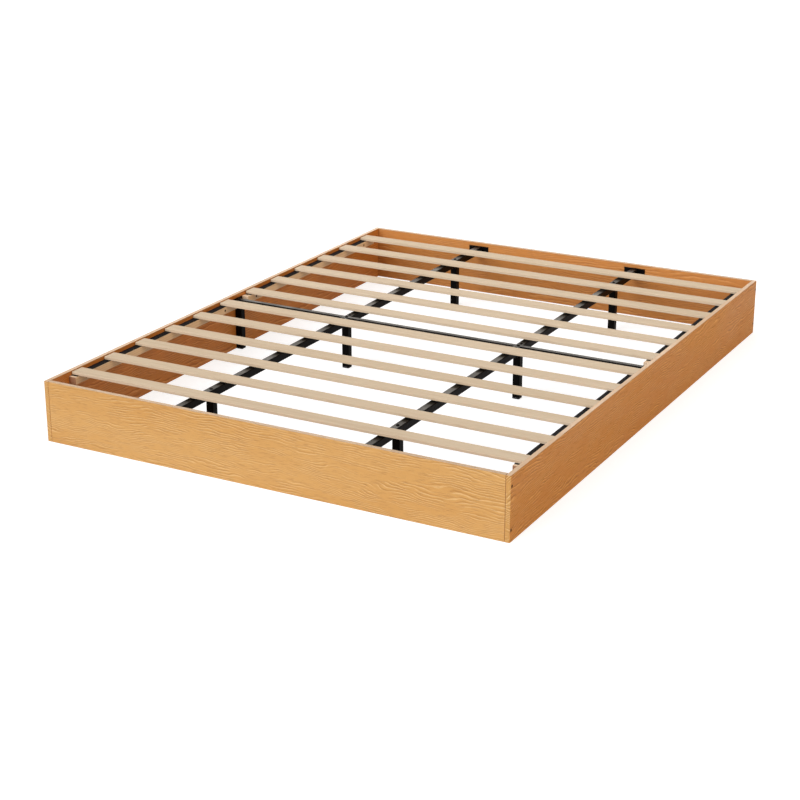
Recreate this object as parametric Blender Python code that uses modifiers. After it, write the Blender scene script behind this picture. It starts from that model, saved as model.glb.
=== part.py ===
"""Low platform bed frame for a queen mattress, in metres with +Z up.

The origin is on the floor under the middle of the frame. +X runs across the bed, along the slats,
and +Y runs from the foot to the head. Four laminated panels stand as a box. Two webbed sets of pine
slats lie on pine ledgers inside it, over a black steel grid of half beams, a crossbar and legs.
Every sub-part is one closed solid in an object of its own.
"""

import math

import bpy
from mathutils import Vector

X, Y, Z = range(3)

# Box of panels
FRAME_WIDTH = 1.554
FRAME_LENGTH = 2.056
PANEL_HEIGHT = 0.195
PANEL_THICKNESS = 0.015
PANEL_ROUNDING = 0.001

# Clearance between neighbouring solids that touch on the real frame
FIT = 0.0003

# Slats, in two sets on one even pitch
SLATS_PER_SET = 6
SLAT_WIDTH = 0.050
SLAT_THICKNESS = 0.009
SLAT_PITCH = 0.162
SLAT_END_CLEARANCE = 0.0015
SLAT_ROUNDING = 0.0012
SLAT_DROP = 0.0025

# Webbing straps stapled under the slat ends
STRAP_WIDTH = 0.025
STRAP_THICKNESS = 0.0012
STRAP_TAIL = 0.0045

# Ledgers, and their screws as distances from each ledger's foot end
LEDGER_WIDTH = 0.027
LEDGER_HEIGHT = 0.024
LEDGER_LENGTH = 0.898
LEDGER_ROUNDING = 0.001
LEDGER_MIDDLE_GAP = 0.064
LEDGER_SCREW_PLACES = (0.053, 0.435, 0.818)
LEDGER_SCREW_RADIUS = 0.0022
LEDGER_SINK_RADIUS = 0.0046
LEDGER_SINK_DEPTH = 0.0030

# Steel grid: the beams and the crossbar have their tops and their bottoms at one level
STEEL_TOP = 0.180
BAR_HEIGHT = 0.025
BEAM_WIDTH = 0.025
CROSSBAR_WIDTH = 0.020
TUBE_WALL = 0.0015
TUBE_ROUNDING = 0.0025
BEAM_X = 0.319
BEAM_END_GAP = 0.010
CROSSBAR_END_GAP = 0.005

# Legs
LEG_WIDTH = 0.025
OUTER_LEG_Y = 0.810
LEG_PLATE_THICKNESS = 0.003
LEG_PLATE_LENGTH = 0.050
MIDDLE_PLATE_LENGTH = 0.072
CAP_THICKNESS = 0.006
CAP_PLUG_HEIGHT = 0.014
CAP_ROUNDING = 0.0020

# Bolt holes in the beams, the crossbar and the leg plates
GRID_HOLE_RADIUS = 0.0033
JOINT_BOLT_Y = 0.023

# Brackets
BRACKET_SHEET = 0.002
BRACKET_REACH = 0.030
BRACKET_LIP = 0.002
CHEEK_DROP = 0.005
BEAM_BRACKET_WIDTH = 0.080
BEAM_BRACKET_HEIGHT = 0.036
CROSSBAR_BRACKET_WIDTH = 0.060
CROSSBAR_BRACKET_HEIGHT = 0.026
BRACKET_HOLE_INSET = 0.012
BRACKET_HOLE_RADIUS = 0.0022

# Panel bolts, two at each corner
BOLT_HEIGHTS = (0.0355, 0.1625)
BOLT_HEAD_RADIUS = 0.0042
BOLT_HEAD_HEIGHT = 0.0032
BOLT_SHANK_RADIUS = 0.0026
BOLT_LENGTH = 0.046
BOLT_SINK = 0.0005
SOCKET_RADIUS = 0.0023
SOCKET_DEPTH = 0.0022

ROUND_STEPS = 16
HOLE_STEPS = 12
OVERCUT = 0.005

# Levels and planes worked out from the sizes above
HALF_WIDTH = FRAME_WIDTH / 2
HALF_LENGTH = FRAME_LENGTH / 2
INNER_X = HALF_WIDTH - PANEL_THICKNESS
INNER_Y = HALF_LENGTH - PANEL_THICKNESS
SLAT_TOP = PANEL_HEIGHT - SLAT_DROP
SLAT_BOTTOM = SLAT_TOP - SLAT_THICKNESS
STRAP_TOP = SLAT_BOTTOM - FIT
LEDGER_TOP = STRAP_TOP - STRAP_THICKNESS - FIT
STEEL_BOTTOM = STEEL_TOP - BAR_HEIGHT
PLATE_TOP = STEEL_BOTTOM - FIT

# Finishes: linear colour, roughness, metallic
OAK_LAMINATE = ((0.60, 0.31, 0.09, 1.0), 0.45, 0.0)
PINE = ((0.60, 0.47, 0.33, 1.0), 0.60, 0.0)
WEBBING = ((0.012, 0.011, 0.011, 1.0), 0.90, 0.0)
BLACK_STEEL = ((0.012, 0.011, 0.011, 1.0), 0.40, 0.0)
BLACK_PLASTIC = ((0.010, 0.011, 0.012, 1.0), 0.55, 0.0)
BOLT_STEEL = ((0.030, 0.028, 0.026, 1.0), 0.35, 1.0)

SIDES = (("left", -1), ("right", 1))
ENDS = (("foot", -1), ("head", 1))


def clear_scene():
    """Removes every object that the scene starts with."""
    for thing in list(bpy.data.objects):
        bpy.data.objects.remove(thing)


def new_collection(name):
    """A collection linked to the scene."""
    collection = bpy.data.collections.new(name)
    bpy.context.scene.collection.children.link(collection)
    return collection


def file_under(thing, name, collection):
    """Names an object and its mesh, and moves it to a collection."""
    thing.name = name
    thing.data.name = name
    for holder in list(thing.users_collection):
        holder.objects.unlink(thing)
    collection.objects.link(thing)
    return thing


def hide_as_guide(thing):
    """Shows a cutter or a shape to be joined as a wire only."""
    thing.hide_render = True
    thing.display_type = "WIRE"
    return thing


def add_finish(piece, finish):
    """Gives a piece its own Principled material."""
    colour, roughness, metallic = finish
    material = bpy.data.materials.new(piece.name + "_finish")
    material.use_nodes = True
    material.diffuse_color = colour
    shader = material.node_tree.nodes["Principled BSDF"]
    shader.inputs["Base Color"].default_value = colour
    shader.inputs["Roughness"].default_value = roughness
    shader.inputs["Metallic"].default_value = metallic
    piece.data.materials.append(material)
    return piece


def add_box(name, low, high, collection):
    """A box between two opposite corners, with its origin at its centre."""
    low = Vector(low)
    high = Vector(high)
    bpy.ops.mesh.primitive_cube_add(size=1.0, location=(low + high) / 2)
    box = bpy.context.object
    box.scale = high - low
    bpy.ops.object.transform_apply(location=False, rotation=False, scale=True)
    return file_under(box, name, collection)


def add_guide_box(name, low, high):
    """A box that only cuts or joins another piece."""
    return hide_as_guide(add_box(name, low, high, guides))


def add_empty(name, place):
    """An empty that pieces are placed under."""
    empty = bpy.data.objects.new(name, None)
    empty.location = place
    parts.objects.link(empty)
    return empty


def add_hole(name, centre, length, radius, axis=Z):
    """A cylinder that drills a hole along one axis."""
    turn = {X: (0, math.pi / 2, 0), Y: (math.pi / 2, 0, 0), Z: (0, 0, 0)}[axis]
    bpy.ops.mesh.primitive_cylinder_add(
        vertices=HOLE_STEPS, radius=radius, depth=length, location=centre, rotation=turn
    )
    return hide_as_guide(file_under(bpy.context.object, name, guides))


def add_turned(name, profile, collection):
    """A solid of revolution about local Z, from (radius, height) points given top to bottom."""
    mesh = bpy.data.meshes.new(name)
    points = [(radius, 0, height) for radius, height in profile]
    edges = [(i, i + 1) for i in range(len(points) - 1)]
    mesh.from_pydata(points, edges, [])
    turned = bpy.data.objects.new(name, mesh)
    collection.objects.link(turned)
    screw = turned.modifiers.new("turned", "SCREW")
    screw.steps = ROUND_STEPS
    screw.render_steps = ROUND_STEPS
    screw.use_merge_vertices = True
    screw.merge_threshold = 0.00001
    return turned


def ease_edges(piece, radius, segments, axis=None):
    """Rounds every edge of a piece, or only the edges that run along one axis."""
    bevel = piece.modifiers.new("eased_edges", "BEVEL")
    bevel.width = radius
    bevel.segments = segments
    if axis is None:
        return piece
    bevel.limit_method = "WEIGHT"
    mesh = piece.data
    weights = mesh.attributes.new("bevel_weight_edge", "FLOAT", "EDGE")
    for edge in mesh.edges:
        start, end = (mesh.vertices[i].co for i in edge.vertices)
        weights.data[edge.index].value = abs((end - start).normalized()[axis])
    return piece


def combine(piece, guide, operation):
    """Cuts a guide out of a piece (DIFFERENCE), or joins it on (UNION)."""
    boolean = piece.modifiers.new(guide.name, "BOOLEAN")
    boolean.operation = operation
    boolean.object = guide
    return piece


def cut(piece, guide):
    """Cuts a guide's shape out of a piece."""
    return combine(piece, guide, "DIFFERENCE")


def join(piece, guide):
    """Adds a guide's shape to a piece."""
    return combine(piece, guide, "UNION")


def bolt_profile(spare, head_spare):
    """The side view of a panel bolt with its head's top at height 0, grown by a clearance."""
    return (
        (0, head_spare),
        (BOLT_HEAD_RADIUS + spare, head_spare),
        (BOLT_HEAD_RADIUS + spare, -BOLT_HEAD_HEIGHT - spare),
        (BOLT_SHANK_RADIUS + spare, -BOLT_HEAD_HEIGHT - spare),
        (BOLT_SHANK_RADIUS + spare, -BOLT_LENGTH - spare),
        (0, -BOLT_LENGTH - spare),
    )


def add_socket(name):
    """A hexagonal key socket for the top of a bolt's head."""
    bpy.ops.mesh.primitive_cylinder_add(vertices=6, radius=SOCKET_RADIUS, depth=2 * SOCKET_DEPTH)
    return hide_as_guide(file_under(bpy.context.object, name, guides))


def add_corner_bolts(side_panel, end_panel, corner, side_sign, end_sign):
    """The two bolts of one corner, through the side panel into the end of the foot or head panel."""
    for level, height in zip(("lower", "upper"), BOLT_HEIGHTS):
        name = f"{corner}_{level}_bolt"
        place = (side_sign * (HALF_WIDTH - BOLT_SINK), end_sign * (INNER_Y + PANEL_THICKNESS / 2), height)
        turn = (0, side_sign * math.pi / 2, 0)
        bolt = add_turned(name, bolt_profile(0, 0), parts)
        hole = hide_as_guide(add_turned(name + "_hole", bolt_profile(FIT, OVERCUT), guides))
        socket = add_socket(name + "_socket")
        for thing in (bolt, hole, socket):
            thing.location = place
            thing.rotation_euler = turn
        cut(bolt, socket)
        add_finish(bolt, BOLT_STEEL)
        cut(side_panel, hole)
        cut(end_panel, hole)


def add_panels():
    """The two full-length side panels, and the foot and head panels between them."""
    side_panels = {}
    end_panels = {}
    for side, sign in SIDES:
        xs = sorted((sign * INNER_X, sign * HALF_WIDTH))
        low = (xs[0], -HALF_LENGTH, 0)
        high = (xs[1], HALF_LENGTH, PANEL_HEIGHT)
        side_panels[side] = add_box(f"{side}_side_panel", low, high, parts)
    for end, sign in ENDS:
        ys = sorted((sign * INNER_Y, sign * HALF_LENGTH))
        low = (-INNER_X + FIT, ys[0], 0)
        high = (INNER_X - FIT, ys[1], PANEL_HEIGHT)
        end_panels[end] = add_box(f"{end}_panel", low, high, parts)
    for panel in (*side_panels.values(), *end_panels.values()):
        ease_edges(panel, PANEL_ROUNDING, 2)
        add_finish(panel, OAK_LAMINATE)
    for side, side_sign in SIDES:
        for end, end_sign in ENDS:
            add_corner_bolts(side_panels[side], end_panels[end], f"{end}_{side}", side_sign, end_sign)


def ledger_hole_profile():
    """The side view of a countersunk ledger hole, with the ledger's open face at height 0."""
    return (
        (0, OVERCUT),
        (LEDGER_SINK_RADIUS, OVERCUT),
        (LEDGER_SINK_RADIUS, 0),
        (LEDGER_SCREW_RADIUS, -LEDGER_SINK_DEPTH),
        (LEDGER_SCREW_RADIUS, -LEDGER_WIDTH - OVERCUT),
        (0, -LEDGER_WIDTH - OVERCUT),
    )


def add_ledger(side, side_sign, end, foot_y):
    """One ledger strip on a side panel's inner face, from foot_y towards the head."""
    name = f"{side}_{end}_ledger"
    inner_face = side_sign * (INNER_X - FIT - LEDGER_WIDTH)
    xs = sorted((side_sign * (INNER_X - FIT), inner_face))
    low = (xs[0], foot_y, LEDGER_TOP - LEDGER_HEIGHT)
    high = (xs[1], foot_y + LEDGER_LENGTH, LEDGER_TOP)
    ledger = ease_edges(add_box(name, low, high, parts), LEDGER_ROUNDING, 1)
    for number, place in enumerate(LEDGER_SCREW_PLACES, 1):
        hole = hide_as_guide(add_turned(f"{name}_hole_{number}", ledger_hole_profile(), guides))
        hole.location = (inner_face, foot_y + place, LEDGER_TOP - LEDGER_HEIGHT / 2)
        hole.rotation_euler = (0, -side_sign * math.pi / 2, 0)
        cut(ledger, hole)
    add_finish(ledger, PINE)


def add_ledgers():
    """A foot and a head ledger on each side panel, with room for the crossbar between them."""
    foot_ends = {"foot": -LEDGER_MIDDLE_GAP / 2 - LEDGER_LENGTH, "head": LEDGER_MIDDLE_GAP / 2}
    for side, side_sign in SIDES:
        for end, foot_y in foot_ends.items():
            add_ledger(side, side_sign, end, foot_y)


def slat_places():
    """The middle of every slat along Y, from the foot to the head."""
    count = 2 * SLATS_PER_SET
    return [(number - (count - 1) / 2) * SLAT_PITCH for number in range(count)]


def add_slat(number, middle):
    """One pine slat across the bed."""
    half_length = INNER_X - SLAT_END_CLEARANCE
    low = (-half_length, middle - SLAT_WIDTH / 2, SLAT_BOTTOM)
    high = (half_length, middle + SLAT_WIDTH / 2, SLAT_TOP)
    slat = add_box(f"slat_{number:02d}", low, high, parts)
    ease_edges(slat, SLAT_ROUNDING, 2)
    return add_finish(slat, PINE)


def add_strap(side, sign, end, middles):
    """The strap that joins the slats of one set near one end, lying on the ledger."""
    outer_x = INNER_X - SLAT_END_CLEARANCE
    xs = sorted((sign * outer_x, sign * (outer_x - STRAP_WIDTH)))
    past_slats = SLAT_WIDTH / 2 + STRAP_TAIL
    low = (xs[0], middles[0] - past_slats, STRAP_TOP - STRAP_THICKNESS)
    high = (xs[1], middles[-1] + past_slats, STRAP_TOP)
    return add_finish(add_box(f"{side}_{end}_strap", low, high, parts), WEBBING)


def add_slat_sets():
    """The two sets of slats and straps, each under an empty that it lifts out with."""
    places = slat_places()
    for end, first in (("foot", 0), ("head", SLATS_PER_SET)):
        middles = places[first:first + SLATS_PER_SET]
        pieces = [add_slat(first + count, middle) for count, middle in enumerate(middles, 1)]
        pieces += [add_strap(side, sign, end, middles) for side, sign in SIDES]
        centre = Vector((0, sum(middles) / SLATS_PER_SET, LEDGER_TOP))
        lift = add_empty(f"{end}_slat_set", centre)
        for piece in pieces:
            piece.parent = lift
            piece.location -= centre


def add_tube(name, low, high, axis):
    """A square tube with rounded corners, open at both ends, along one axis."""
    tube = ease_edges(add_box(name, low, high, parts), TUBE_ROUNDING, 3, axis)
    inner_low = [value + TUBE_WALL for value in low]
    inner_high = [value - TUBE_WALL for value in high]
    inner_low[axis] = low[axis] - OVERCUT
    inner_high[axis] = high[axis] + OVERCUT
    return cut(tube, add_guide_box(name + "_inside", inner_low, inner_high))


def add_grid_hole(name, x, y):
    """An upright bolt hole through a bar and the leg plate under it."""
    top = STEEL_TOP + OVERCUT
    bottom = PLATE_TOP - LEG_PLATE_THICKNESS - OVERCUT
    return add_hole(name, (x, y, (top + bottom) / 2), top - bottom, GRID_HOLE_RADIUS)


def add_leg(name, x, y, plate_length, holes):
    """A square-tube leg with a plate welded on its top, and the plastic cap in its open bottom."""
    half = LEG_WIDTH / 2
    tube_bottom = CAP_THICKNESS + FIT
    weld = PLATE_TOP - LEG_PLATE_THICKNESS
    leg = add_box(name, (x - half, y - half, tube_bottom), (x + half, y + half, weld + FIT), parts)
    ease_edges(leg, TUBE_ROUNDING, 3, Z)
    plate_low = (x - half, y - plate_length / 2, weld)
    plate_high = (x + half, y + plate_length / 2, PLATE_TOP)
    join(leg, add_guide_box(name + "_plate", plate_low, plate_high))
    inner = half - TUBE_WALL
    inside_low = (x - inner, y - inner, -OVERCUT)
    inside_high = (x + inner, y + inner, weld)
    cut(leg, add_guide_box(name + "_inside", inside_low, inside_high))
    for hole in holes:
        cut(leg, hole)
    add_finish(leg, BLACK_STEEL)
    cap = add_box(name + "_cap", (x - half, y - half, 0), (x + half, y + half, CAP_THICKNESS), parts)
    ease_edges(cap, CAP_ROUNDING, 2)
    plug = inner - FIT
    plug_top = CAP_THICKNESS + CAP_PLUG_HEIGHT
    plug_low = (x - plug, y - plug, CAP_THICKNESS / 2)
    join(cap, add_guide_box(name + "_plug", plug_low, (x + plug, y + plug, plug_top)))
    add_finish(cap, BLACK_PLASTIC)


def add_beam_halves(side, sign):
    """The two half beams of one side, which meet at the crossbar, as a dictionary by end."""
    x = sign * BEAM_X
    half = BEAM_WIDTH / 2
    far = INNER_Y - BEAM_END_GAP
    near = CROSSBAR_WIDTH / 2 + FIT
    halves = {}
    for end, end_sign in ENDS:
        ys = sorted((end_sign * far, end_sign * near))
        low = (x - half, ys[0], STEEL_BOTTOM)
        high = (x + half, ys[1], STEEL_TOP)
        halves[end] = add_tube(f"{side}_{end}_beam", low, high, Y)
        add_finish(halves[end], BLACK_STEEL)
    return halves


def add_crossbar():
    """The thinner tube across the frame at mid-length."""
    reach = INNER_X - CROSSBAR_END_GAP
    half = CROSSBAR_WIDTH / 2
    crossbar = add_tube("crossbar", (-reach, -half, STEEL_BOTTOM), (reach, half, STEEL_TOP), X)
    return add_finish(crossbar, BLACK_STEEL)


def add_beam_legs(side, sign, halves, crossbar):
    """A leg at the foot, middle and head of one beam, with their bolt holes."""
    x = sign * BEAM_X
    middle_holes = [add_grid_hole(f"{side}_middle_hole", x, 0)]
    cut(crossbar, middle_holes[0])
    for end, end_sign in ENDS:
        end_hole = add_grid_hole(f"{side}_{end}_leg_hole", x, end_sign * OUTER_LEG_Y)
        cut(halves[end], end_hole)
        add_leg(f"{side}_{end}_leg", x, end_sign * OUTER_LEG_Y, LEG_PLATE_LENGTH, [end_hole])
        joint_hole = add_grid_hole(f"{side}_{end}_joint_hole", x, end_sign * JOINT_BOLT_Y)
        cut(halves[end], joint_hole)
        middle_holes.append(joint_hole)
    add_leg(f"{side}_middle_leg", x, 0, MIDDLE_PLATE_LENGTH, middle_holes)


def add_side_leg(side, sign, crossbar):
    """The leg under one end of the crossbar, against the side panel."""
    x = sign * (INNER_X - FIT - LEG_WIDTH / 2)
    hole = add_grid_hole(f"{side}_side_hole", x, 0)
    cut(crossbar, hole)
    add_leg(f"{side}_side_leg", x, 0, LEG_PLATE_LENGTH, [hole])


def add_bracket(name, place, turn, bar_width, plate_width, plate_height, has_floor):
    """A plate with a cradle for a bar's end. Locally the wall is at x = 0 and the bar leaves along +X."""
    top = STEEL_TOP + BRACKET_LIP
    cheek = bar_width / 2 + FIT + BRACKET_SHEET
    cheek_top = STEEL_TOP - CHEEK_DROP
    floor_drop = FIT + BRACKET_SHEET if has_floor else 0
    half_plate = plate_width / 2
    front = FIT + BRACKET_SHEET
    bracket = add_box(name, (FIT, -half_plate, top - plate_height), (front, half_plate, top), parts)
    cradle_low = (FIT, -cheek, STEEL_BOTTOM - floor_drop)
    cradle = add_guide_box(name + "_cradle", cradle_low, (BRACKET_REACH, cheek, cheek_top))
    pocket = bar_width / 2 + FIT
    pocket_bottom = STEEL_BOTTOM - (FIT if has_floor else OVERCUT)
    pocket_high = (BRACKET_REACH + OVERCUT, pocket, cheek_top + OVERCUT)
    pocket_guide = add_guide_box(name + "_pocket", (front, -pocket, pocket_bottom), pocket_high)
    join(bracket, cradle)
    cut(bracket, pocket_guide)
    guides_here = [cradle, pocket_guide]
    for sign in (-1, 1):
        spot = (0, sign * (half_plate - BRACKET_HOLE_INSET), top - plate_height / 2)
        hole = add_hole(f"{name}_screw_{sign}", spot, 4 * OVERCUT, BRACKET_HOLE_RADIUS, X)
        cut(bracket, hole)
        guides_here.append(hole)
    seat = add_empty(name + "_seat", place)
    seat.rotation_euler = (0, 0, turn)
    for thing in (bracket, *guides_here):
        thing.parent = seat
    add_finish(bracket, BLACK_STEEL)


def add_brackets():
    """Brackets for the four beam ends on the foot and head panels, and two for the crossbar."""
    for side, side_sign in SIDES:
        for end, end_sign in ENDS:
            place = (side_sign * BEAM_X, end_sign * INNER_Y, 0)
            turn = -end_sign * math.pi / 2
            name = f"{side}_{end}_beam_bracket"
            add_bracket(name, place, turn, BEAM_WIDTH, BEAM_BRACKET_WIDTH, BEAM_BRACKET_HEIGHT, True)
        turn = 0 if side_sign < 0 else math.pi
        name = f"{side}_crossbar_bracket"
        place = (side_sign * INNER_X, 0, 0)
        width, height = CROSSBAR_BRACKET_WIDTH, CROSSBAR_BRACKET_HEIGHT
        add_bracket(name, place, turn, CROSSBAR_WIDTH, width, height, False)


def add_steel_grid():
    """The beams, crossbar, legs and brackets."""
    crossbar = add_crossbar()
    for side, sign in SIDES:
        halves = add_beam_halves(side, sign)
        add_beam_legs(side, sign, halves, crossbar)
        add_side_leg(side, sign, crossbar)
    add_brackets()


clear_scene()
parts = new_collection("wooden_bed_frame")
guides = new_collection("guides")
add_panels()
add_ledgers()
add_slat_sets()
add_steel_grid()
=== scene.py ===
"""The looks of the low wooden bed frame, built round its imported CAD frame.

The CAD panels, slats, ledgers and steel stay, with detailed materials. The four webbing straps are
woven pieces in place of their plain solids. Bolts, nuts, screws, weld beads and staples are added.
"""

import math
import random

import bmesh
import bpy
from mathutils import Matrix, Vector


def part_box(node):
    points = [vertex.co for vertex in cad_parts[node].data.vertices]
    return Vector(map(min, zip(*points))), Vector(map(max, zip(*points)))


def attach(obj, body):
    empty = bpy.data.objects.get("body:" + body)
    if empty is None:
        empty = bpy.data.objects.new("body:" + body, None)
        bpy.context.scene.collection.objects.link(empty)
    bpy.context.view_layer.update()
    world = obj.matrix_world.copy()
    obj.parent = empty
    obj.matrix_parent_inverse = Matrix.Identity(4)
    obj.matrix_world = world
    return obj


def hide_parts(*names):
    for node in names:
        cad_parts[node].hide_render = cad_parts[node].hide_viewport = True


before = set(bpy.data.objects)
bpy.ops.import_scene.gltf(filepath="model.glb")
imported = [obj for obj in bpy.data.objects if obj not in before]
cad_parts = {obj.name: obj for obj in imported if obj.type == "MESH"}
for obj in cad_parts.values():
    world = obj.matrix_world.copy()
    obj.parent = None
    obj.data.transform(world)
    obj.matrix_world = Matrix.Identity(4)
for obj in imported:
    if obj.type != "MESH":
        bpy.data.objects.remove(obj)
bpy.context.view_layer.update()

SIDES = (("left", -1), ("right", 1))
ENDS = (("foot", -1), ("head", 1))
LEG_PLACES = ("foot", "middle", "head", "side")
SLATS_IN_SET = 6
SEED = 7

# Colours, linear
HONEY = (0.582, 0.293, 0.080)
HONEY_PALE = (0.622, 0.335, 0.105)
# Pale grain lines, partly painted highlight on the embossed ridges
HONEY_PALE_LINE_HIGHLIGHT = (0.77, 0.50, 0.22)
HONEY_LINE = (0.385, 0.172, 0.038)
HONEY_PORE = (0.28, 0.112, 0.027)
EDGE_SEAM = (0.30, 0.13, 0.05)
# The outer and inner tints hold painted shade: the inner faces darker and redder, for the shade and warm
# bounce light inside the frame, and the side panels' outer faces darker and warmer than the end panels',
# for the shade on that side.
END_LAMINATE_AND_SHADE = {
    "outer": (0.955, 0.96, 0.93), "inner": (0.86, 0.635, 0.45), "narrow": (0.93, 0.93, 0.89),
    "band": (0.466, 0.312, 0.176),
    "pitch": 0.0075, "line": 0.44, "pale_line_highlight": 0.60,
}
SIDE_LAMINATE_AND_SHADE = {
    "outer": (1.08, 0.86, 0.475), "inner": (0.93, 0.65, 0.43), "narrow": (0.93, 0.93, 0.89),
    "band": (0.56, 0.370, 0.216),
    "pitch": 0.0085, "line": 0.62, "pale_line_highlight": 0.95,
}
SLAT_PALE = (0.612, 0.485, 0.328)
SLAT_DEEP = (0.552, 0.426, 0.272)
SLAT_LINE = (0.44, 0.30, 0.18)
LEDGER_PALE = (0.78, 0.585, 0.39)
LEDGER_DEEP = (0.70, 0.495, 0.305)
LEDGER_LINE = (0.46, 0.27, 0.13)
SLAT_END = (0.40, 0.22, 0.11)
# The ledgers' cut ends: painted shade and painted warm bounce light from the panels beside them
LEDGER_END_SHADE = (0.27, 0.105, 0.034)
BLACK_COAT = (0.0022, 0.0019, 0.0018)
# Paler coat for dust specks, and for the edges, where it is partly rubbed wear and partly painted
# highlight
PALE_COAT_WEAR_AND_HIGHLIGHT = (0.022, 0.020, 0.019)
BLACK_WEB = (0.0060, 0.0052, 0.0052)
GREY_WEB = (0.011, 0.0098, 0.0098)
PLASTIC = (0.0045, 0.0055, 0.0062)
PLASTIC_PALE = (0.012, 0.014, 0.016)
BLACK_STEEL = (0.006, 0.0055, 0.005)
RUBBED_STEEL = (0.030, 0.028, 0.027)
STAPLE_ZINC = (0.55, 0.54, 0.52)
BRIGHT_ZINC = (0.75, 0.74, 0.72)

# Light colours
PLAIN_LIGHT = (1.0, 1.0, 1.0)
COOL_LIGHT = (0.94, 1.0, 1.15)
WARM_LIGHT = (1.0, 0.72, 0.42)
MILD_LIGHT = (1.0, 0.93, 0.84)

# Soft suns: name, the place that each shines from, colour, strength, width in the sky in degrees
SUNS = (
    ("key", (-2.2, -4.6, 3.2), COOL_LIGHT, 3.0, 50),
    ("top", (0, 0.4, 6.0), PLAIN_LIGHT, 0.52, 70),
    ("fill", (5.0, -2.0, 2.4), WARM_LIGHT, 1.35, 60),
)
BACK_PLACE = (-4.3, 7.9, 3.3)
BACK_TARGET = (0, 0, 0.1)
BACK_SIZE = (7.0, 4.0)
BACK_POWER = 350

# The surround and the floor, both brighter as the camera sees them than as light on the bed
WORLD_FILL = 0.15
WORLD_BACKDROP = 1.0
FLOOR_FILL = 0.24
FLOOR_BACKDROP = 0.80
FLOOR_GREY = (0.40, 0.40, 0.40)
FLOOR_REACH = 60.0
FLOOR_DROP = 0.0002

# How deep the faces, bands, joint lines and cut ends of another tone reach, in metres
FACE_DEPTH = 0.0004
BAND_DEPTH = 0.0007
CORNER_SEAM = 0.0011
SLAT_CUT = 0.0008
LEDGER_CUT = 0.0006

# How far the grain lines stray, and the size of the pores, in metres
GRAIN_DRIFT = 0.07
GRAIN_WAVE = 0.034
GRAIN_RIPPLE = 0.008
PINE_DRIFT = 0.03
PORE_LENGTH = 0.030
PORE_WIDTH = 0.0016

# Counts of the grain, and what makes each pine board its own
GRAIN_SWIRL = 16.0
PINE_RINGS = 14.0
PINE_FIRST_BOARD = 40
PINE_BOARD_JUMP = 9.0

# Relief and wear of the surfaces, and the reach of the paler edges that are partly painted highlight, in
# metres
EDGE_WEAR_AND_HIGHLIGHT = 0.0012
STEEL_WEAR = 0.0005
SCUFF_HEIGHT = 0.005
EMBOSS_DEPTH = 0.00045
PINE_DEPTH = 0.00022
PEEL_DEPTH = 0.00006
SPARK_DEPTH = 0.00005
TURNING_DEPTH = 0.00003
WEAVE_DEPTH = 0.00025
WEAVE_RIB = 0.0020
WEAVE_PICK = 0.0022

# Shine, and the usual range of a noise
WOOD_SPECULAR = 0.30
BLACK_SPECULAR = 0.06
BOLT_ROUGHNESS = 0.34
STAPLE_ROUGHNESS = 0.28
NOISE_LOW = 0.3
NOISE_HIGH = 0.7
BEVEL_SAMPLES = 4

# Sizes of the added pieces, in metres, with their counts and angles
RING_STEPS = 48
HEAD_SMOOTH_ANGLE = math.radians(35)
CROSS_ARM = 0.30
BOLT_SPARE = 0.001
SCREW_SUNK = 0.0002
WELD_LENGTH = 0.020
WELD_RADIUS = 0.0017
WELD_TIP_RADIUS = 0.45 * WELD_RADIUS
WELD_TIP_LENGTH = 0.5 * WELD_RADIUS
WELD_SINK = WELD_RADIUS / 4
WELD_RIPPLE = 0.00025
WELD_PITCH = 0.0021
WELD_POINTS = 4
STRAP_RIBS = 14
RIB_DEPTH = 0.00012
RIB_POINTS = 4
SELVEDGE_ANGLES = (0.9, 0.0, -0.9)
STRAP_SMOOTH_ANGLE = math.radians(60)
STRAP_STATION = 0.009
STRAP_WANDER = 0.0004
STRAP_TURNS = 2.3
WIDE_SWAY = 0.7
QUICK_SWAY = 0.3
QUICK_TURNS = 2.7
STAPLE_WIRE = 0.0005
STAPLE_CROWN = 0.011
STAPLE_LEG = 0.007
STAPLE_BEND = 0.0012
STAPLE_BEND_STEPS = 3
STAPLE_SPOTS = (0.3, 0.7)

# Places of the hardware, as in the CAD model
LEG_HALF_WIDTH = 0.0125
LEG_PLATE = 0.003
JOINT_BOLT_Y = 0.023
LEDGER_SCREW_PLACES = (0.053, 0.435, 0.818)
BRACKET_SHEET = 0.002
BRACKET_SCREW_INSET = 0.012
BEAM_BRACKET_DROP = 0.018
CROSSBAR_BRACKET_DROP = 0.013

# The camera of the photograph's view
CAMERA_PLACE = (2.5977, -4.9907, 2.0148)
CAMERA_TILT = math.radians(20.275)
CAMERA_TURN = math.radians(28.516)
CAMERA_LENS = 80.74
CAMERA_SENSOR = 36.0
CAMERA_REACH = 200.0


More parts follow.
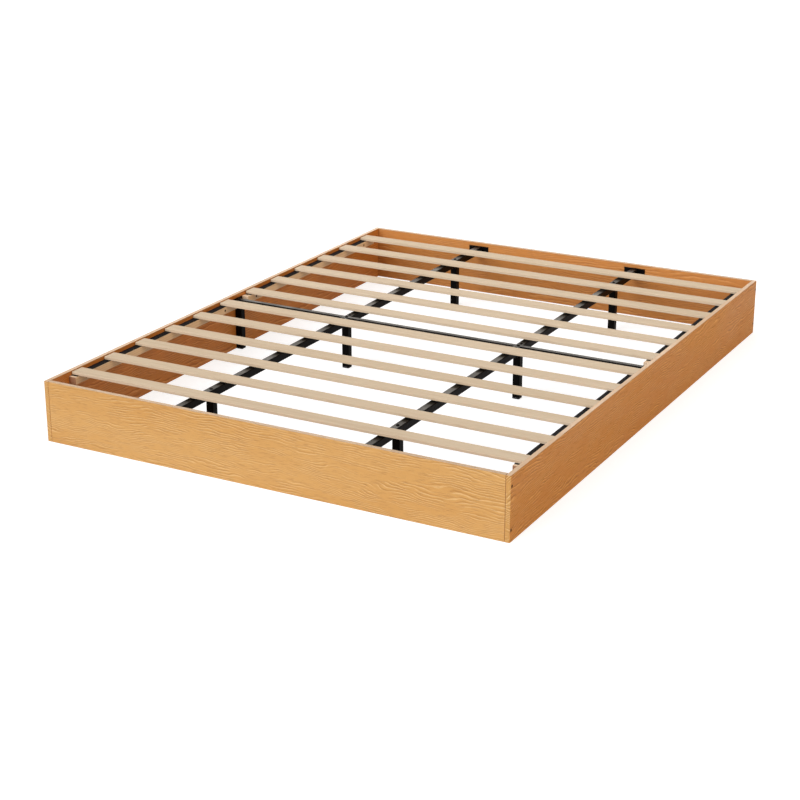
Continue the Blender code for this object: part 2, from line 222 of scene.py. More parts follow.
class Graph:
    """Builds one material's shader nodes."""

    def __init__(self, name):
        self.material = bpy.data.materials.new(name)
        self.material.use_nodes = True
        self.tree = self.material.node_tree
        self.shader = self.tree.nodes["Principled BSDF"]

    def node(self, kind, **settings):
        made = self.tree.nodes.new("ShaderNode" + kind)
        for key, value in settings.items():
            setattr(made, key, value)
        return made

    def feed(self, socket, value):
        """Links a socket to a value, or sets it to a plain number or colour."""
        if isinstance(value, bpy.types.NodeSocket):
            self.tree.links.new(value, socket)
        elif isinstance(value, tuple):
            socket.default_value = (*value, 1.0)
        else:
            socket.default_value = value

    def set(self, name, value):
        """Feeds one of the shader's own sockets."""
        self.feed(self.shader.inputs[name], value)

    def math(self, operation, *values):
        made = self.node("Math", operation=operation)
        for socket, value in zip(made.inputs, values):
            self.feed(socket, value)
        return made.outputs[0]

    def point(self):
        """The point on the surface, in the object's own coordinates."""
        return self.node("TexCoord").outputs["Object"]

    def axes(self, vector):
        """The X, Y and Z of a vector."""
        made = self.node("SeparateXYZ")
        self.feed(made.inputs[0], vector)
        return tuple(made.outputs)

    def place(self, along):
        """The point on a board that runs along X or Y, as (along it, up, sideways)."""
        x, y, z = self.axes(self.point())
        return (x, z, y) if along == "X" else (y, z, x)

    def noise(self, vector, scale=1.0, detail=2.0, roughness=0.5):
        made = self.node("TexNoise")
        self.feed(made.inputs["Vector"], vector)
        self.feed(made.inputs["Scale"], scale)
        self.feed(made.inputs["Detail"], detail)
        self.feed(made.inputs["Roughness"], roughness)
        return made.outputs["Fac"]

    def stretched(self, place, scales, detail):
        """Noise at a place, with a scale for each of its three parts."""
        made = self.node("CombineXYZ")
        for socket, part, scale in zip(made.inputs, place, scales):
            self.feed(socket, self.math("MULTIPLY", part, scale))
        return self.noise(made.outputs[0], detail=detail)

    def remap(self, value, low, high, out_low=0.0, out_high=1.0):
        """A smooth step from out_low to out_high as value goes from low to high."""
        made = self.node("MapRange", interpolation_type="SMOOTHSTEP")
        for socket, number in zip(made.inputs, (value, low, high, out_low, out_high)):
            self.feed(socket, number)
        return made.outputs[0]

    def spread(self, noise, out_low=0.0, out_high=1.0):
        """A smooth step from out_low to out_high over the usual range of a noise."""
        return self.remap(noise, NOISE_LOW, NOISE_HIGH, out_low, out_high)

    def mix(self, share, first, second, blend="MIX"):
        made = self.node("Mix", data_type="RGBA", blend_type=blend)
        self.feed(made.inputs["Factor"], share)
        colours = [socket for socket in made.inputs if socket.type == "RGBA"]
        self.feed(colours[0], first)
        self.feed(colours[1], second)
        return next(socket for socket in made.outputs if socket.type == "RGBA")

    def stain(self, colour, tone, mask, share):
        """The colour, turned towards a tone by a share of the mask."""
        return self.mix(self.math("MULTIPLY", mask, share), colour, tone)

    def sharp_edge(self, radius):
        """Near 1 on edges and corners, 0 on flat faces."""
        bevel = self.node("Bevel", samples=BEVEL_SAMPLES)
        self.feed(bevel.inputs["Radius"], radius)
        dot = self.node("VectorMath", operation="DOT_PRODUCT")
        self.feed(dot.inputs[0], bevel.outputs[0])
        self.feed(dot.inputs[1], self.node("NewGeometry").outputs["Normal"])
        return self.remap(dot.outputs["Value"], 0.995, 0.80)

    def bump(self, height, distance, round_edges=0.0):
        made = self.node("Bump")
        self.feed(made.inputs["Height"], height)
        self.feed(made.inputs["Distance"], distance)
        if round_edges:
            bevel = self.node("Bevel", samples=BEVEL_SAMPLES)
            self.feed(bevel.inputs["Radius"], round_edges)
            self.feed(made.inputs["Normal"], bevel.outputs[0])
        return made.outputs[0]


def grain_figure(graph, place, pitch):
    """Dark grain lines, pitch apart, and beside each a pale line that is partly pale grain and partly
    painted highlight
    on the embossed ridge: they wander and ripple, swirl into a few cathedral loops, and come and go along
    their length."""
    along, across, through = place
    drift = graph.stretched(place, (1.3, 5.0, 5.0), detail=1.0)
    waves = graph.stretched(place, (7.0, 14.0, 14.0), detail=1.0)
    ripples = graph.stretched(place, (28.0, 50.0, 50.0), detail=1.0)
    stray = graph.math("MULTIPLY_ADD", drift, GRAIN_DRIFT, graph.math("MULTIPLY", waves, GRAIN_WAVE))
    stray = graph.math("MULTIPLY_ADD", ripples, GRAIN_RIPPLE, stray)
    strayed = graph.math("ADD", across, stray)
    loops = graph.stretched((along, strayed, through), (0.7, 7.0, 7.0), detail=0.6)
    lines = graph.math("MULTIPLY_ADD", loops, GRAIN_SWIRL, graph.math("DIVIDE", strayed, pitch))
    phase = graph.math("MULTIPLY", lines, math.tau)
    strength = graph.remap(graph.stretched(place, (12.0, 50.0, 50.0), detail=2.0), 0.38, 0.60)
    dark = graph.remap(graph.math("SINE", phase), 0.3, 1.0)
    # The pale line beside each dark one: partly pale grain, partly painted highlight.
    light = graph.remap(graph.math("SINE", graph.math("ADD", phase, 2.0)), 0.5, 1.0)
    return graph.math("MULTIPLY", dark, strength), graph.math("MULTIPLY", light, strength)


def pores(graph, place):
    """Short thin dashes along the grain."""
    dashes = graph.stretched(place, (1 / PORE_LENGTH, 1 / PORE_WIDTH, 1 / PORE_WIDTH), detail=1.5)
    return graph.remap(dashes, 0.56, 0.68)


def tint_faces_with_shade(graph, colour, through, outer_plane, finish):
    """Tints the outer, the inner and the narrow faces of a panel, each in its own way. The inner tints are
    painted shade and painted warm bounce light, and the side panels' outer tints paint them darker and
    warmer than the end panels, as painted shade.
    """
    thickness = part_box("foot_panel")[1].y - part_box("foot_panel")[0].y
    distance = graph.math("ABSOLUTE", through)
    outside = graph.math("GREATER_THAN", distance, outer_plane - FACE_DEPTH)
    inside = graph.math("LESS_THAN", distance, outer_plane - thickness + FACE_DEPTH)
    tint = graph.mix(inside, graph.mix(outside, finish["narrow"], finish["outer"]), finish["inner"])
    return graph.mix(1.0, colour, tint, "MULTIPLY")


def band_top(graph, colour, place, finish):
    """Gives a panel's top edge its paler band, with a dark seam under it."""
    up = place[1]
    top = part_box("foot_panel")[1].z
    streaks = graph.stretched(place, (14.0, 300.0, 300.0), detail=2.0)
    band = graph.mix(graph.spread(streaks, 0.0, 0.25), finish["band"], HONEY_PALE)
    colour = graph.mix(graph.math("GREATER_THAN", up, top - BAND_DEPTH), colour, band)
    near = graph.remap(up, top - 2 * BAND_DEPTH, top - BAND_DEPTH)
    seam = graph.math("MULTIPLY", near, graph.math("LESS_THAN", up, top - BAND_DEPTH))
    return graph.stain(colour, EDGE_SEAM, seam, share=0.6)


def laminate(name, along_axis, outer_plane, finish, end_plane):
    """Honey oak laminate with an embossed grain, a paler top edge band, inner faces painted darker and
    redder as painted shade, and a dark joint line past end_plane, where a board butts against its
    neighbours."""
    graph = Graph(name)
    place = graph.place(along_axis)
    along, _, through = place
    cloud = graph.stretched(place, (1.6, 7.0, 2.0), detail=3.0)
    colour = graph.mix(graph.spread(cloud), HONEY, HONEY_PALE)
    rings, pale_lines_and_highlights = grain_figure(graph, place, finish["pitch"])
    colour = graph.stain(colour, HONEY_LINE, rings, finish["line"])
    # Pale lines beside the grain: partly pale grain, partly painted highlight on the embossed ridges.
    colour = graph.stain(colour, HONEY_PALE_LINE_HIGHLIGHT, pale_lines_and_highlights, finish["pale_line_highlight"])
    dashes = pores(graph, place)
    colour = graph.stain(colour, HONEY_PORE, dashes, share=0.30)
    # Painted shade: darker, redder inner faces, and darker, warmer outer faces on the side panels.
    colour = tint_faces_with_shade(graph, colour, through, outer_plane, finish)
    colour = band_top(graph, colour, place, finish)
    butt = graph.math("GREATER_THAN", graph.math("ABSOLUTE", along), end_plane)
    colour = graph.stain(colour, EDGE_SEAM, butt, share=0.6)
    # Paler edges: partly wear, partly painted highlight along the rounded edges.
    colour = graph.stain(colour, finish["band"], graph.sharp_edge(EDGE_WEAR_AND_HIGHLIGHT), share=0.22)
    graph.set("Base Color", colour)
    smudge = graph.stretched(place, (3.0, 9.0, 9.0), detail=4.0)
    graph.set("Roughness", graph.math("MULTIPLY_ADD", dashes, 0.12, graph.spread(smudge, 0.40, 0.52)))
    graph.set("Specular IOR Level", WOOD_SPECULAR)
    emboss = graph.math("MULTIPLY_ADD", rings, -0.7, graph.math("MULTIPLY", dashes, -0.5))
    graph.set("Normal", graph.bump(emboss, EMBOSS_DEPTH, round_edges=0.0006))
    return graph.material


def pine(name, along_axis, tones, board_pitch, end_plane):
    """Plain pine whose tone and rings change from board to board, darker on the cut ends, which on the
    ledgers is painted shade and painted warm bounce light.
    """
    pale, deep, line, cut = tones
    graph = Graph(name)
    along, up, sideways = graph.place(along_axis)
    across, other = (sideways, up) if along_axis == "X" else (up, sideways)
    counted = graph.math("ADD", sideways, PINE_FIRST_BOARD * board_pitch)
    luck = graph.node("TexWhiteNoise", noise_dimensions="1D")
    graph.feed(luck.inputs["W"], graph.math("FLOOR", graph.math("DIVIDE", counted, board_pitch)))
    chance = luck.outputs["Value"]
    jumped = graph.math("ADD", along, graph.math("MULTIPLY", chance, PINE_BOARD_JUMP))
    place = (jumped, across, other)
    wide = graph.stretched(place, (1.1, 9.0, 9.0), detail=2.0)
    tone = graph.math("MULTIPLY_ADD", chance, 0.4, graph.spread(wide, 0.0, 0.6))
    colour = graph.mix(tone, pale, deep)
    drift = graph.math("MULTIPLY", graph.stretched(place, (1.6, 5.0, 5.0), detail=1.0), PINE_DRIFT)
    drifted = (jumped, graph.math("ADD", across, drift), other)
    field = graph.stretched(drifted, (0.7, 22.0, 22.0), detail=0.4)
    rings = graph.remap(graph.math("SINE", graph.math("MULTIPLY", field, PINE_RINGS * math.tau)), 0.3, 1.0)
    colour = graph.stain(colour, line, rings, share=0.26)
    fibres = graph.stretched(place, (30.0, 1300.0, 1300.0), detail=2.0)
    colour = graph.mix(graph.remap(fibres, 0.5, 0.75, 0.0, 0.22), colour, line)
    cut_end = graph.math("GREATER_THAN", graph.math("ABSOLUTE", along), end_plane)
    # Darker cut ends; on the ledgers this is painted shade and painted warm bounce light.
    colour = graph.stain(colour, cut, cut_end, share=0.8)
    # Paler edges: partly wear, partly painted highlight along the edges.
    colour = graph.stain(colour, pale, graph.sharp_edge(EDGE_WEAR_AND_HIGHLIGHT), share=0.25)
    graph.set("Base Color", colour)
    graph.set("Roughness", graph.spread(fibres, 0.56, 0.74))
    graph.set("Specular IOR Level", WOOD_SPECULAR)
    relief = graph.math("MULTIPLY_ADD", rings, 0.35, graph.math("MULTIPLY", fibres, 0.4))
    graph.set("Normal", graph.bump(relief, PINE_DEPTH, round_edges=0.0008))
    return graph.material


def powder_coat():
    """Black powder coat: fine orange peel, paler on the edges as partly rubbed wear and partly painted
    edge highlight, with faint dust and smudges.
    """
    graph = Graph("black_powder_coat")
    point = graph.point()
    smudge = graph.noise(point, scale=14.0, detail=5.0, roughness=0.6)
    # Paler edges: partly rubbed wear, partly painted highlight along the edges.
    wear_and_highlight = graph.math("MULTIPLY", graph.sharp_edge(EDGE_WEAR_AND_HIGHLIGHT), graph.remap(smudge, 0.38, 0.6, 0.25, 0.9))
    colour = graph.stain(BLACK_COAT, PALE_COAT_WEAR_AND_HIGHLIGHT, wear_and_highlight, share=0.6)
    specks = graph.noise(point, scale=900.0, detail=1.0)
    colour = graph.mix(graph.remap(specks, 0.66, 0.72, 0.0, 0.25), colour, PALE_COAT_WEAR_AND_HIGHLIGHT)
    graph.set("Base Color", colour)
    graph.set("Roughness", graph.spread(smudge, 0.27, 0.40))
    graph.set("Specular IOR Level", BLACK_SPECULAR)
    peel = graph.noise(point, scale=520.0, detail=2.0)
    graph.set("Normal", graph.bump(peel, PEEL_DEPTH, round_edges=0.0007))
    return graph.material


def moulded_plastic():
    """Black moulded plastic with a fine spark texture and scuffs near the floor."""
    graph = Graph("moulded_plastic")
    point = graph.point()
    spark = graph.noise(point, scale=1500.0, detail=2.0)
    scuff = graph.noise(point, scale=240.0, detail=4.0, roughness=0.7)
    low = graph.remap(graph.axes(point)[2], SCUFF_HEIGHT, 0.0)
    reach = graph.math("MULTIPLY_ADD", low, 0.6, 0.2)
    share = graph.math("MULTIPLY", graph.remap(scuff, 0.45, 0.65), reach)
    graph.set("Base Color", graph.mix(share, PLASTIC, PLASTIC_PALE))
    graph.set("Roughness", graph.spread(spark, 0.46, 0.62))
    graph.set("Normal", graph.bump(spark, SPARK_DEPTH, round_edges=0.0006))
    return graph.material


def webbing():
    """Black woven webbing: weft picks across the ribs, painted darker in the weave's hollows as painted
    shade, with a soft fibre sheen.
    """
    graph = Graph("woven_webbing")
    point = graph.point()
    x, y, _ = graph.axes(point)
    rib = graph.math("SINE", graph.math("MULTIPLY", x, math.tau / WEAVE_RIB))
    pick = graph.math("SINE", graph.math("MULTIPLY", y, math.tau / WEAVE_PICK))
    weave = graph.math("MULTIPLY_ADD", graph.math("MULTIPLY", rib, pick), 0.5, 0.5)
    fuzz = graph.noise(point, scale=1800.0, detail=3.0)
    # Painted shade: the weave is darker where its relief is low and lighter on the raised threads, with
    # fibre fuzz.
    shade = graph.math("MULTIPLY", weave, graph.spread(fuzz, 0.4, 1.0))
    graph.set("Base Color", graph.mix(shade, BLACK_WEB, GREY_WEB))
    graph.set("Roughness", graph.spread(fuzz, 0.72, 0.92))
    graph.set("Sheen Weight", 0.015)
    graph.set("Specular IOR Level", BLACK_SPECULAR)
    graph.set("Normal", graph.bump(graph.math("MULTIPLY_ADD", fuzz, 0.3, weave), WEAVE_DEPTH))
    return graph.material


def fastener_steel(name, dark, bright, roughness):
    """Plated or blackened steel with a cloudy tone, rubbed edges and fine turning marks."""
    graph = Graph(name)
    point = graph.point()
    cloud = graph.noise(point, scale=160.0, detail=4.0, roughness=0.6)
    rubbed = graph.math("MAXIMUM", graph.remap(cloud, 0.4, 0.7, 0.0, 0.5), graph.sharp_edge(STEEL_WEAR))
    graph.set("Base Color", graph.mix(rubbed, dark, bright))
    graph.set("Metallic", 1.0)
    graph.set("Roughness", graph.spread(cloud, roughness, roughness + 0.15))
    graph.set("Normal", graph.bump(graph.noise(point, scale=1900.0, detail=1.0), TURNING_DEPTH))
    return graph.material


def paint(material, *names):
    """Gives CAD nodes a better material in place of their plain one."""
    for name in names:
        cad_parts[name].data.materials[0] = material


def nodes_ending(*endings):
    """Names of the CAD nodes with one of these endings."""
    return [name for name in sorted(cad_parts) if name.endswith(endings)]


def middle(name):
    """The middle of a CAD node's box."""
    low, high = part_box(name)
    return (low + high) / 2


def finish_piece(piece, material, body):
    """Gives an added piece its material and the body that it rides on."""
    piece.data.materials.append(material)
    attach(piece, body)


def add_object(name, mesh):
    piece = bpy.data.objects.new(name, mesh)
    bpy.context.scene.collection.objects.link(piece)
    return piece


def ring_reach(shape, radius, angle):
    """How far a ring reaches at an angle: round, hexagonal, or the cross of a screw recess."""
    if shape == "hex":
        return radius * math.cos(math.pi / 6) / math.cos(angle % (math.pi / 3) - math.pi / 6)
    if shape == "cross":
        arm = abs((angle + math.pi / 4) % (math.pi / 2) - math.pi / 4)
        return radius * CROSS_ARM / max(math.sin(arm), CROSS_ARM)
    return radius


def finished_mesh(name, form, smooth_angle):
    """A mesh from a closed form, smooth except where its faces meet more sharply than the angle."""
    bmesh.ops.recalc_face_normals(form, faces=form.faces)
    mesh = bpy.data.meshes.new(name)
    form.to_mesh(mesh)
    form.free()
    mesh.shade_smooth()
    mesh.set_sharp_from_angle(angle=smooth_angle)
    return mesh


def ringed_mesh(name, rings):
    """A closed mesh about +Z through rings of (shape, radius, height), first to last."""
    form = bmesh.new()
    loops = []
    for shape, radius, height in rings:
        loop = []
        for step in range(RING_STEPS):
            angle = math.tau * step / RING_STEPS
            reach = ring_reach(shape, radius, angle)
            loop.append(form.verts.new((reach * math.cos(angle), reach * math.sin(angle), height)))
        loops.append(loop)
    for lower, upper in zip(loops, loops[1:]):
        for step in range(RING_STEPS):
            after = (step + 1) % RING_STEPS
            form.faces.new((lower[step], lower[after], upper[after], upper[step]))
    form.faces.new(reversed(loops[0]))
    form.faces.new(loops[-1])
    return finished_mesh(name, form, HEAD_SMOOTH_ANGLE)


def button_bolt_mesh(shank_length):
    """A button-head bolt with a hexagon socket; the head's seat is at height 0."""
    return ringed_mesh("button_bolt", [
        ("round", 0.0026, -shank_length),
        ("round", 0.0029, -shank_length + 0.0004),
        ("round", 0.0029, 0.0),
        ("round", 0.0054, 0.0),
        ("round", 0.0055, 0.0004),
        ("round", 0.0052, 0.0012),
        ("round", 0.0045, 0.0020),
        ("round", 0.0035, 0.0026),
        ("round", 0.0028, 0.0028),
        ("hex", 0.0024, 0.0027),
        ("hex", 0.0022, 0.0024),
        ("hex", 0.0022, 0.0010),
        ("hex", 0.0004, 0.0006),
    ])


def hex_nut_mesh():
    """A chamfered nut with a washer under it; its seat is at height 0 and it hangs below."""
    return ringed_mesh("nut_and_washer", [
        ("round", 0.0062, 0.0),
        ("round", 0.0063, -0.0002),
        ("round", 0.0063, -0.0010),
        ("round", 0.0050, -0.0011),
        ("hex", 0.0056, -0.0015),
        ("hex", 0.0057, -0.0018),
        ("hex", 0.0057, -0.0052),
        ("hex", 0.0053, -0.0057),
        ("round", 0.0032, -0.0058),
        ("round", 0.0029, -0.0054),
        ("round", 0.0029, -0.0085),
        ("round", 0.0024, -0.0090),
    ])


def sunk_screw_mesh():
    """A countersunk wood screw with a cross recess, its head's top at height 0."""
    return ringed_mesh("sunk_screw", [
        ("round", 0.0006, -0.0380),
        ("round", 0.0018, -0.0340),
        ("round", 0.0018, -0.0034),
        ("round", 0.0041, -0.0007),
        ("round", 0.0043, -0.0003),
        ("round", 0.0041, 0.0),
        ("cross", 0.0026, -0.0001),
        ("cross", 0.0024, -0.0004),
        ("cross", 0.0010, -0.0017),
    ])


def pan_screw_mesh():
    """A pan-head wood screw with a cross recess, its seat at height 0."""
    return ringed_mesh("pan_screw", [
        ("round", 0.0005, -0.0125),
        ("round", 0.0016, -0.0095),
        ("round", 0.0016, 0.0),
        ("round", 0.0036, 0.0),
        ("round", 0.0037, 0.0004),
        ("round", 0.0035, 0.0012),
        ("round", 0.0028, 0.0019),
        ("cross", 0.0021, 0.0021),
        ("cross", 0.0019, 0.0017),
        ("cross", 0.0008, 0.0007),
    ])


def weld_mesh():
    """A straight weld bead along Z, rippled like a row of coins."""
    count = round(WELD_LENGTH / WELD_PITCH) * WELD_POINTS
    tip = WELD_LENGTH / 2 + WELD_TIP_LENGTH
    rings = [("round", WELD_TIP_RADIUS, -tip)]
    for step in range(count + 1):
        swell = WELD_RIPPLE * abs(math.sin(math.pi * step / WELD_POINTS))
        rings.append(("round", WELD_RADIUS - WELD_RIPPLE + swell, WELD_LENGTH * (step / count - 0.5)))
    rings.append(("round", WELD_TIP_RADIUS, tip))
    return ringed_mesh("weld_bead", rings)


def fix(name, mesh, place, direction, body):
    """Places a fastener whose axis, from its tip to its head, points along direction."""
    piece = add_object(name, mesh)
    piece.location = place
    piece.rotation_mode = "QUATERNION"
    piece.rotation_quaternion = Vector(direction).to_track_quat("Z", "Y")
    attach(piece, body)


def add_grid_bolts(bolt_material):
    """Bolts down through the beams, the crossbar and the leg plates, with the nuts that show below."""
    beam_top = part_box("left_foot_beam")[1].z
    plate_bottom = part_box("left_middle_leg")[1].z - LEG_PLATE
    bolt = button_bolt_mesh(beam_top - plate_bottom + BOLT_SPARE)
    nut = hex_nut_mesh()
    for mesh in (bolt, nut):
        mesh.materials.append(bolt_material)
    for side, _ in SIDES:
        for place in LEG_PLACES:
            centre = middle(f"{side}_{place}_leg")
            spot = (centre.x, centre.y, beam_top)
            fix(f"{side}_{place}_leg_bolt", bolt, spot, (0, 0, 1), "frame")
        x = middle(f"{side}_middle_leg").x
        for end, sign in ENDS:
            top = (x, sign * JOINT_BOLT_Y, beam_top)
            under = (x, sign * JOINT_BOLT_Y, plate_bottom)
            fix(f"{side}_{end}_joint_bolt", bolt, top, (0, 0, 1), "frame")
            fix(f"{side}_{end}_joint_nut", nut, under, (0, 0, 1), "frame")


def add_ledger_screws(screw_material):
    """Three countersunk screws through each ledger into the side panel."""
    screw = sunk_screw_mesh()
    screw.materials.append(screw_material)
    for side, sign in SIDES:
        for end, _ in ENDS:
            low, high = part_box(f"{side}_{end}_ledger")
            face = low.x if sign > 0 else high.x
            for number, along in enumerate(LEDGER_SCREW_PLACES, 1):
                spot = (face + sign * SCREW_SUNK, low.y + along, (low.z + high.z) / 2)
                name = f"{side}_{end}_ledger_screw_{number}"
                fix(name, screw, spot, (-sign, 0, 0), "frame")


def add_bracket_screws(screw_material):
    """Two pan-head screws through each bracket into the panel behind it."""
    screw = pan_screw_mesh()
    screw.materials.append(screw_material)
    for side, side_sign in SIDES:
        for end, end_sign in ENDS:
            name = f"{side}_{end}_beam_bracket"
            low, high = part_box(name)
            wall = high.y if end_sign > 0 else low.y
            for number, x in enumerate((low.x + BRACKET_SCREW_INSET, high.x - BRACKET_SCREW_INSET), 1):
                spot = (x, wall - end_sign * BRACKET_SHEET, high.z - BEAM_BRACKET_DROP)
                fix(f"{name}_screw_{number}", screw, spot, (0, -end_sign, 0), "frame")
        name = f"{side}_crossbar_bracket"
        low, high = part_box(name)
        wall = high.x if side_sign > 0 else low.x
        for number, y in enumerate((low.y + BRACKET_SCREW_INSET, high.y - BRACKET_SCREW_INSET), 1):
            spot = (wall - side_sign * BRACKET_SHEET, y, high.z - CROSSBAR_BRACKET_DROP)
            fix(f"{name}_screw_{number}", screw, spot, (-side_sign, 0, 0), "frame")


def add_welds(coat):
    """A bead on both sides of each leg, where it meets the underside of its plate."""
    bead = weld_mesh()
    bead.materials.append(coat)
    for side, _ in SIDES:
        for place in LEG_PLACES:
            centre = middle(f"{side}_{place}_leg")
            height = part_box(f"{side}_{place}_leg")[1].z - LEG_PLATE - WELD_SINK
            for end, sign in ENDS:
                spot = (centre.x, centre.y + sign * (LEG_HALF_WIDTH + WELD_SINK), height)
                fix(f"{side}_{place}_leg_{end}_weld", bead, spot, (1, 0, 0), "frame")


def strap_outline(width, thickness):
    """A strap's closed section: ribs above and below, and rounded selvedges."""
    flat = width - thickness
    count = STRAP_RIBS * RIB_POINTS
    upper = []
    for step in range(count + 1):
        share = step / count
        groove = RIB_DEPTH * (1 - abs(math.sin(math.pi * STRAP_RIBS * share)))
        upper.append((flat * (share - 0.5), thickness / 2 - groove))
    lower = [(x, -z) for x, z in reversed(upper)]
    right = []
    for angle in SELVEDGE_ANGLES:
        right.append((flat / 2 + thickness / 2 * math.cos(angle), thickness / 2 * math.sin(angle)))
    left = [(-x, z) for x, z in reversed(right)]
    return upper + right + lower + left


def strap_mesh(name, low, high, draw):
    """A woven strap that fills a box, wandering a little along it as stapled webbing does."""
    centre = (low + high) / 2
    size = high - low
    outline = strap_outline(size.x - 2 * STRAP_WANDER, size.z)
    stations = round(size.y / STRAP_STATION)
    form = bmesh.new()
    rings = []
    phase = draw.uniform(0, math.tau)
    for station in range(stations + 1):
        y = low.y + size.y * station / stations
        turn = math.tau * STRAP_TURNS * station / stations + phase
        sway = WIDE_SWAY * math.sin(turn) + QUICK_SWAY * math.sin(QUICK_TURNS * turn)
        x = centre.x + STRAP_WANDER * sway
        rings.append([form.verts.new((x + dx, y, centre.z + dz)) for dx, dz in outline])
    points = len(outline)
    for before, after in zip(rings, rings[1:]):
        for step in range(points):
            beside = (step + 1) % points
            form.faces.new((before[step], before[beside], after[beside], after[step]))
    form.faces.new(rings[0])
    form.faces.new(reversed(rings[-1]))
    return finished_mesh(name, form, STRAP_SMOOTH_ANGLE)


def add_strap(side, end, material, draw):
    """One woven strap in place of its plain CAD solid."""
    name = f"{side}_{end}_strap"
    low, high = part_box(name)
    strap = add_object(f"{name}_webbing", strap_mesh(f"{name}_webbing", low, high, draw))
    finish_piece(strap, material, f"{end}_slat_set")
    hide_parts(name)


def staple_points():
    """Points (x, z) of a staple's wire: down from one tip, along its crown and up to the other, rounded
    at the bends."""
    half = STAPLE_CROWN / 2
    points = [(-half, STAPLE_LEG)]
    for step in range(STAPLE_BEND_STEPS + 1):
        angle = math.pi / 2 * step / STAPLE_BEND_STEPS
        points.append((STAPLE_BEND * (1 - math.cos(angle)) - half, STAPLE_BEND * (1 - math.sin(angle))))
    return points + [(-x, z) for x, z in reversed(points)]


def add_staples(side, end, slats, material):
    """Two staples through the strap into each slat's end, as one piece."""
    centre_x = middle(f"{side}_{end}_strap").x
    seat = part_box(f"{side}_{end}_strap")[0].z + STAPLE_WIRE
    wire = staple_points()
    curve = bpy.data.curves.new(f"{side}_{end}_staples", "CURVE")
    curve.dimensions = "3D"
    curve.bevel_depth = STAPLE_WIRE
    curve.bevel_resolution = 2
    curve.use_fill_caps = True
    for slat in slats:
        low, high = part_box(slat)
        for share in STAPLE_SPOTS:
            y = low.y + share * (high.y - low.y)
            spline = curve.splines.new("POLY")
            spline.points.add(len(wire) - 1)
            for target, (x, z) in zip(spline.points, wire):
                target.co = (centre_x + x, y, seat + z, 1)
    staples = add_object(f"{side}_{end}_staples", curve)
    finish_piece(staples, material, f"{end}_slat_set")


def add_slat_set_pieces():
    """The straps and staples of both slat sets."""
    web = webbing()
    wire = fastener_steel("staple_wire", STAPLE_ZINC, BRIGHT_ZINC, STAPLE_ROUGHNESS)
    draw = random.Random(SEED)
    slats = [f"slat_{number:02d}" for number in range(1, 2 * SLATS_IN_SET + 1)]
    slats_of = {"foot": slats[:SLATS_IN_SET], "head": slats[SLATS_IN_SET:]}
    for side, _ in SIDES:
        for end, _ in ENDS:
            add_strap(side, end, web, draw)
            add_staples(side, end, slats_of[end], wire)


def paint_panels():
    """The laminate of the end and side panels. A side panel has no joint line, as it runs past the
    corners."""
    outer_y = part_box("head_panel")[1].y
    outer_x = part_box("right_side_panel")[1].x
    butt_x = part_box("foot_panel")[1].x - CORNER_SEAM
    past_end = outer_y + CORNER_SEAM
    end_laminate = laminate("end_panel_laminate", "X", outer_y, END_LAMINATE_AND_SHADE, butt_x)
    side_laminate = laminate("side_panel_laminate", "Y", outer_x, SIDE_LAMINATE_AND_SHADE, past_end)
    paint(end_laminate, "foot_panel", "head_panel")
    paint(side_laminate, "left_side_panel", "right_side_panel")


def paint_pine():
    """The pine of the slats, which are boards side by side, and of the ledgers, one board on each side."""
    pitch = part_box("slat_02")[0].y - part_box("slat_01")[0].y
    slat_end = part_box("slat_01")[1].x - SLAT_CUT
    slat_tones = (SLAT_PALE, SLAT_DEEP, SLAT_LINE, SLAT_END)
    slat_pine = pine("slat_pine", "X", slat_tones, pitch, slat_end)
    paint(slat_pine, *[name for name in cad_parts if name.startswith("slat_")])
    width = 2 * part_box("right_side_panel")[1].x
    ledger_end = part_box("right_head_ledger")[1].y - LEDGER_CUT
    ledger_tones = (LEDGER_PALE, LEDGER_DEEP, LEDGER_LINE, LEDGER_END_SHADE)
    ledger_pine = pine("ledger_pine", "Y", ledger_tones, width, ledger_end)
    paint(ledger_pine, *nodes_ending("_ledger"))


def paint_steel(coat, bolt_steel):
    """The steel grid, its leg caps and the panel bolts."""
    paint(coat, *nodes_ending("_beam", "_bracket", "_leg", "crossbar"))
    paint(moulded_plastic(), *nodes_ending("_cap"))
    paint(bolt_steel, *nodes_ending("_bolt"))


def floor_material():
    """The floor's even, slightly self-lit finish."""
    graph = Graph("pale_floor")
    graph.set("Base Color", FLOOR_GREY)
    graph.set("Roughness", 0.9)
    graph.set("Specular IOR Level", 0.1)
    graph.set("Emission Color", PLAIN_LIGHT)
    seen = graph.node("LightPath").outputs["Is Camera Ray"]
    graph.set("Emission Strength", graph.remap(seen, 0.0, 1.0, FLOOR_FILL, FLOOR_BACKDROP))
    return graph.material


def add_floor():
    """A wide pale floor."""
    near, far = -FLOOR_REACH, FLOOR_REACH
    mesh = bpy.data.meshes.new("studio_floor")
    corners = [(near, near, 0), (far, near, 0), (far, far, 0), (near, far, 0)]
    mesh.from_pydata(corners, [], [(0, 1, 2, 3)])
    floor = add_object("studio_floor", mesh)
    floor.location.z = -FLOOR_DROP
    mesh.materials.append(floor_material())


def add_lamp(name, kind, place, target):
    """A light that faces a target point and isn't seen itself."""
    light = bpy.data.lights.new(name, kind)
    lamp = bpy.data.objects.new(name, light)
    lamp.location = place
    lamp.rotation_mode = "QUATERNION"
    lamp.rotation_quaternion = (Vector(target) - Vector(place)).to_track_quat("-Z", "Y")
    lamp.visible_camera = False
    bpy.context.scene.collection.objects.link(lamp)
    return light


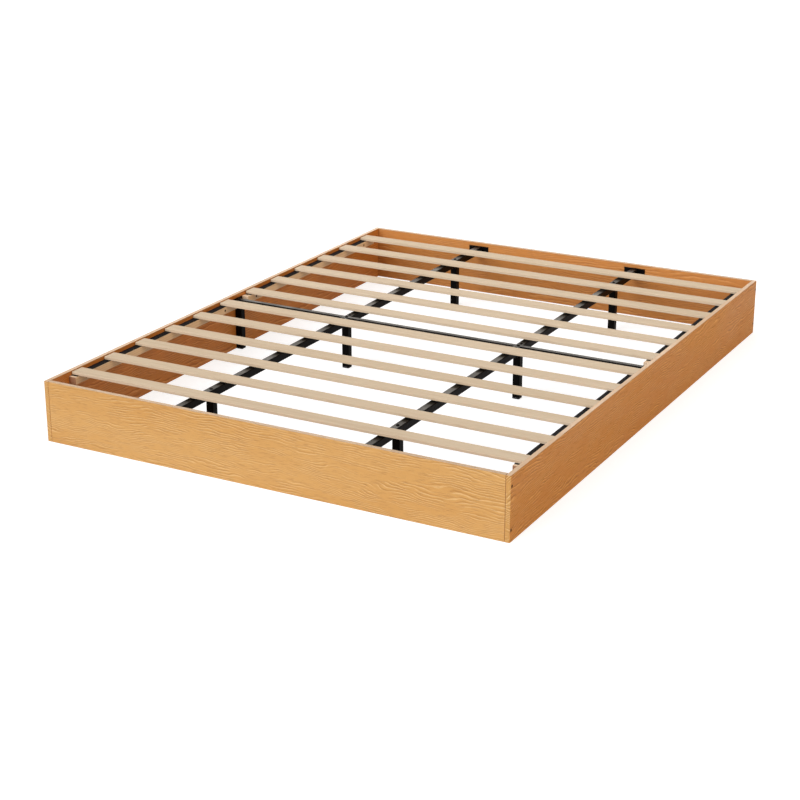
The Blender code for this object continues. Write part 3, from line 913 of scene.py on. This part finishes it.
def add_soft_sun(name, place, colour, strength, softness):
    """An even light from one direction, as wide in the sky as softness says, in degrees."""
    sun = add_lamp(name, "SUN", place, (0, 0, 0))
    sun.color = colour
    sun.energy = strength
    sun.angle = math.radians(softness)


def add_back_light():
    """A wide soft box, low behind the head."""
    box = add_lamp("back", "AREA", BACK_PLACE, BACK_TARGET)
    box.shape = "RECTANGLE"
    box.size, box.size_y = BACK_SIZE
    box.color = MILD_LIGHT
    box.energy = BACK_POWER


def add_world():
    """A white surround, with a weaker fill light than the backdrop that is seen."""
    world = bpy.data.worlds.new("studio")
    world.use_nodes = True
    tree = world.node_tree
    background = tree.nodes["Background"]
    background.inputs["Color"].default_value = (*PLAIN_LIGHT, 1.0)
    seen = tree.nodes.new("ShaderNodeLightPath")
    strength = tree.nodes.new("ShaderNodeMapRange")
    strength.inputs["To Min"].default_value = WORLD_FILL
    strength.inputs["To Max"].default_value = WORLD_BACKDROP
    tree.links.new(seen.outputs["Is Camera Ray"], strength.inputs["Value"])
    tree.links.new(strength.outputs["Result"], background.inputs["Strength"])
    bpy.context.scene.world = world


def add_lights():
    """A cool key above the foot's left, a broad top light, a warm fill from the right, and a low box
    behind the head for the steel's sheen."""
    for sun in SUNS:
        add_soft_sun(*sun)
    add_back_light()
    add_world()


def add_camera():
    """The photograph's view."""
    data = bpy.data.cameras.new("main_camera")
    data.lens = CAMERA_LENS
    data.sensor_width = CAMERA_SENSOR
    data.clip_end = CAMERA_REACH
    camera = bpy.data.objects.new("main_camera", data)
    camera.location = CAMERA_PLACE
    camera.rotation_euler = (math.pi / 2 - CAMERA_TILT, 0, CAMERA_TURN)
    bpy.context.scene.collection.objects.link(camera)
    bpy.context.scene.camera = camera


bpy.context.scene.view_settings.view_transform = "Standard"
steel_coat = powder_coat()
bolt_finish = fastener_steel("black_bolt_steel", BLACK_STEEL, RUBBED_STEEL, BOLT_ROUGHNESS)
paint_panels()
paint_pine()
paint_steel(steel_coat, bolt_finish)
add_grid_bolts(bolt_finish)
add_ledger_screws(bolt_finish)
add_bracket_screws(bolt_finish)
add_welds(steel_coat)
add_slat_set_pieces()
add_floor()
add_lights()
add_camera()
